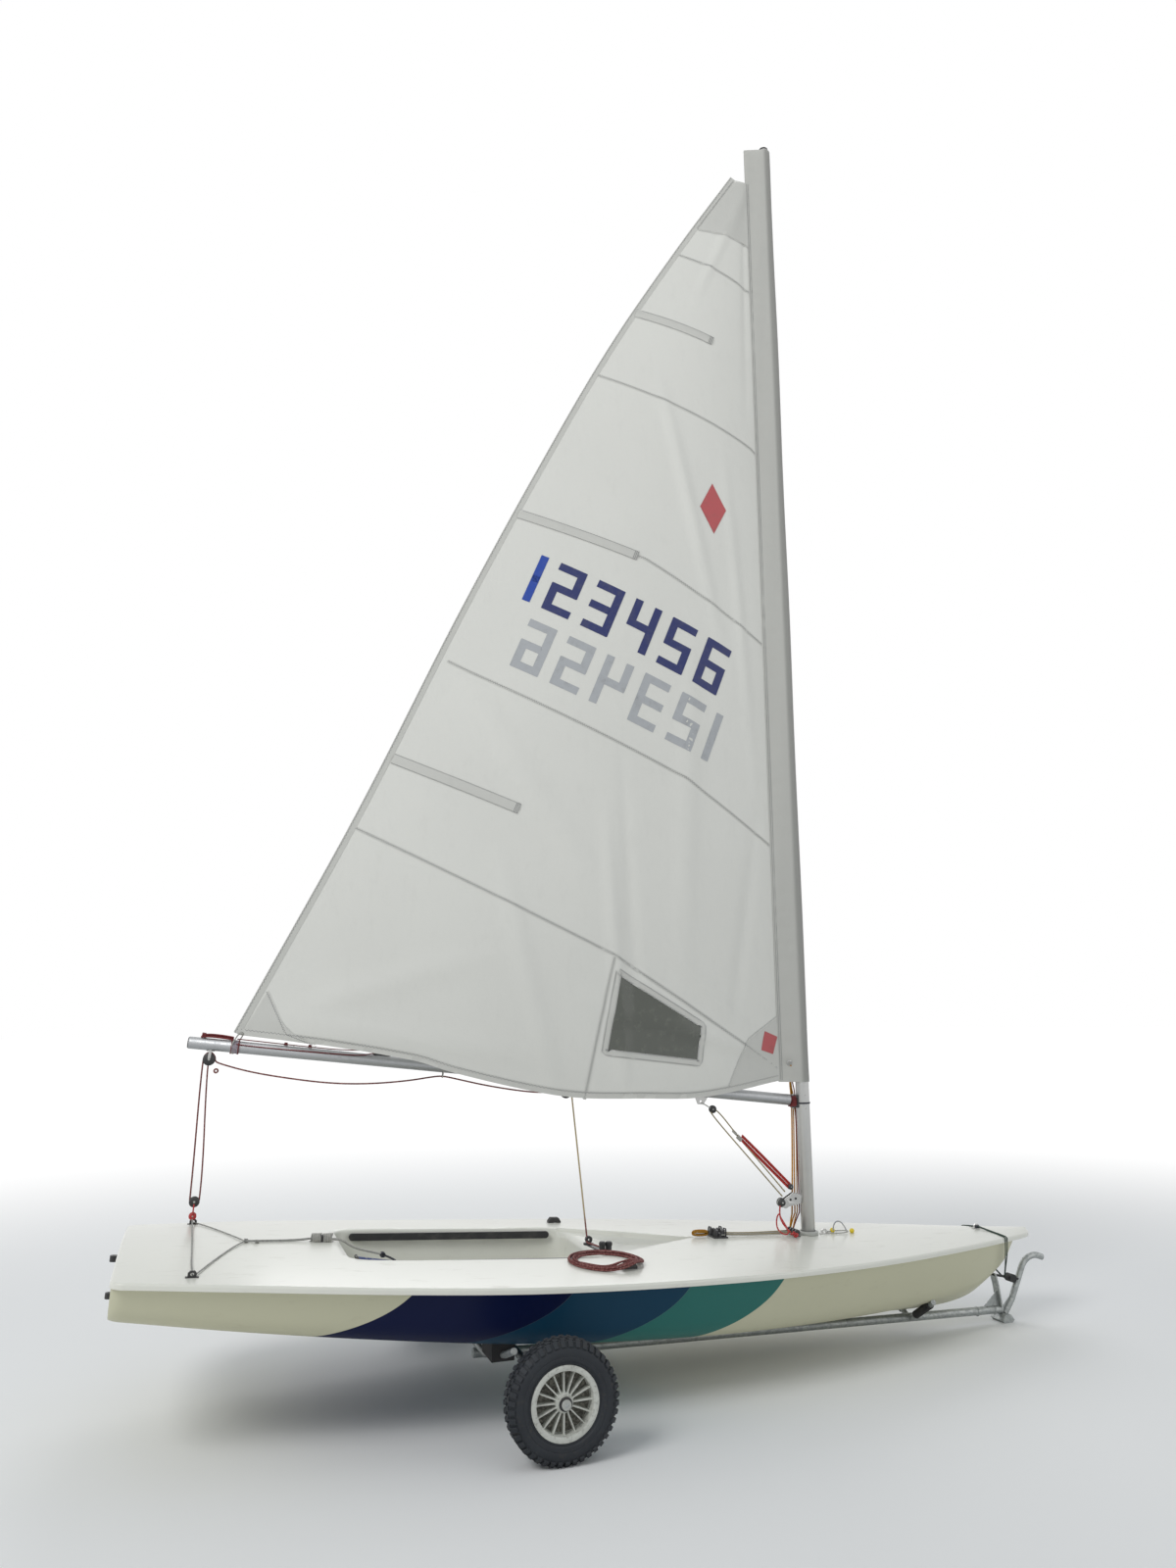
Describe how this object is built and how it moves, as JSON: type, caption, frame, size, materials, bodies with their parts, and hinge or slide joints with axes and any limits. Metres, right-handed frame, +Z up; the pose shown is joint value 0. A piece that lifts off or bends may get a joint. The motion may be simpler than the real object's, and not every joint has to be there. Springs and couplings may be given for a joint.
{
  "type": "sailing dinghy on a launching trolley",
  "caption": "Single-handed sailing dinghy, rigged with mast, boom and sail, resting on a two-wheeled launching trolley with a bow handle.",
  "frame": {"origin": "on the ground, midway between the ends and the sides of the boat and trolley", "axes": "+X towards the bow, +Y to port, +Z up"},
  "size_m": [4.3487, 1.816, 6.3251],
  "materials": {
    "hull_gelcoat": "gloss",
    "deck_gelcoat": "satin",
    "anodised": "satin",
    "galvanised": "dull",
    "stainless": "polished",
    "black_plastic": "matt",
    "black_rubber": "matt",
    "tyre_rubber": "matt",
    "grey_plastic": "matt",
    "sailcloth": "woven",
    "blue_webbing": "woven",
    "red_rope": "braided",
    "yellow_rope": "braided"
  },
  "bodies": {
    "hull_and_trolley": {"hull_shell": "hull_gelcoat", "deck": "deck_gelcoat", "cockpit_liner": "deck_gelcoat", "grab_rails": "black_plastic", "side_cleats": "black_plastic", "traveller_fairleads": "black_plastic", "hiking_strap": "blue_webbing", "traveller_cleat": "black_plastic", "control_cleats": "black_plastic", "gudgeon_upper": "black_plastic", "gudgeon_lower": "black_plastic", "mainsheet_deck_block": "black_plastic", "mast_step_ring": "grey_plastic", "mast_base_blocks": "black_plastic", "deck_eye": "stainless", "bow_eye": "stainless", "mainsheet_coil": "red_rope", "control_hank": "yellow_rope", "trolley_spine": "galvanised", "trolley_axle": "galvanised", "axle_saddle": "galvanised", "trolley_handle": "galvanised", "trolley_foot": "galvanised", "aft_cradle": "galvanised", "aft_pads": "black_rubber", "bow_cradle": "galvanised", "bow_pads": "black_rubber", "bow_post": "galvanised", "bow_snubber": "black_rubber", "bow_gusset": "galvanised", "axle_caps": "grey_plastic"},
    "wheel_port": {"tyre_port": "tyre_rubber", "rim_port": "grey_plastic"},
    "wheel_starboard": {"tyre_starboard": "tyre_rubber", "rim_starboard": "grey_plastic"},
    "mast": {"lower_mast": "anodised", "top_mast": "anodised", "mast_collar": "black_plastic", "mast_cap": "black_plastic", "gooseneck_bracket": "black_plastic", "vang_cleat": "stainless", "vang_tail": "red_rope", "luff_sleeve": "sailcloth", "sail": "sailcloth"},
    "boom": {"boom_tube": "anodised", "gooseneck_pin": "stainless", "boom_end_plug": "black_plastic", "boom_end_block": "black_plastic", "boom_mid_block": "black_plastic", "vang_boom_key": "stainless", "clew_strap": "blue_webbing", "outhaul_cleat": "black_plastic"}
  },
  "joints": [
    {"name": "wheel_port_spin", "type": "hinge", "parent": "hull_and_trolley", "child": "wheel_port", "pos_m": [-0.651, 0.849, 0.2], "axis": [0, 1, 0], "continuous": true},
    {"name": "wheel_starboard_spin", "type": "hinge", "parent": "hull_and_trolley", "child": "wheel_starboard", "pos_m": [-0.651, -0.849, 0.2], "axis": [0, 1, 0], "continuous": true},
    {"name": "boom_swing", "type": "hinge", "parent": "hull_and_trolley", "child": "boom", "pos_m": [0.835, 0, 0.482], "axis": [0.0052, 0, 1], "range_deg": [-83.6, 96.4]},
    {"name": "mast_turn", "type": "hinge", "parent": "hull_and_trolley", "child": "mast", "pos_m": [0.835, 0, 0.482], "axis": [0.0052, 0, 1], "range_deg": [-83.6, 96.4]}
  ],
  "couplings": [
    {"joint": "mast_turn", "follows": "boom_swing", "ratio": 1}
  ]
}
